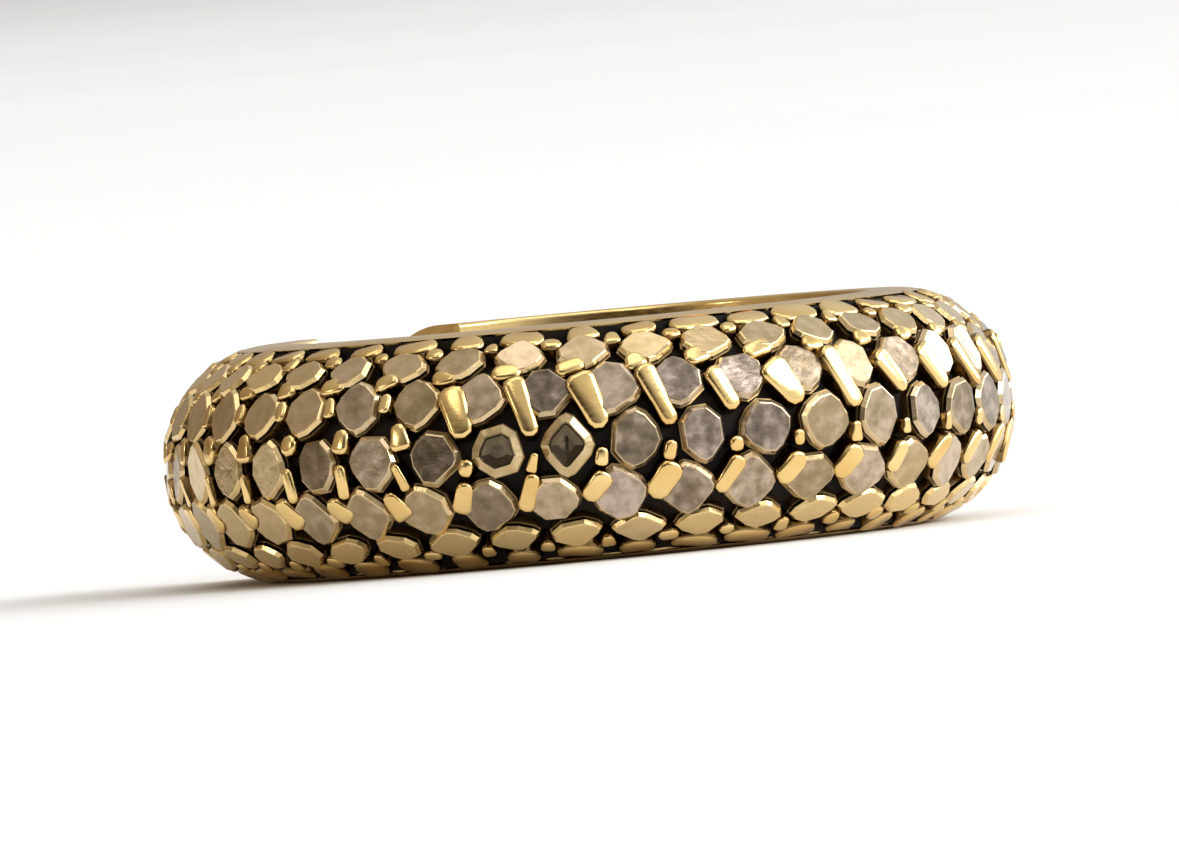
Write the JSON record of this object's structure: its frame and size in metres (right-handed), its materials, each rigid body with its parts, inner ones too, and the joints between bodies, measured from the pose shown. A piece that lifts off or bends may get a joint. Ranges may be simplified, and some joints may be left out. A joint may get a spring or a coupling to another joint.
{
  "type": "ear cuff",
  "caption": "Open half-round hoop that grips the rim of an ear, its outer face paved with small octagonal stones and slim metal grains between two thin polished rims.",
  "frame": {"origin": "on the hoop's axis, level with the lower rim that it lies on", "axes": "+Z along the hoop's axis, up from the surface it lies on; -Y towards the side that faces out when worn; the opening is at the back left, half way between -X and +Y"},
  "size_m": [0.0144, 0.0144, 0.004],
  "materials": {
    "polished_metal": "polished yellow metal with fine wear",
    "smoky_stones": "smoky taupe cut stones with a metallic lustre, on a blackened metal ground with yellow metal grains"
  },
  "bodies": {
    "root": {"hoop": "polished_metal", "pave_field": "smoky_stones"}
  },
  "joints": []
}
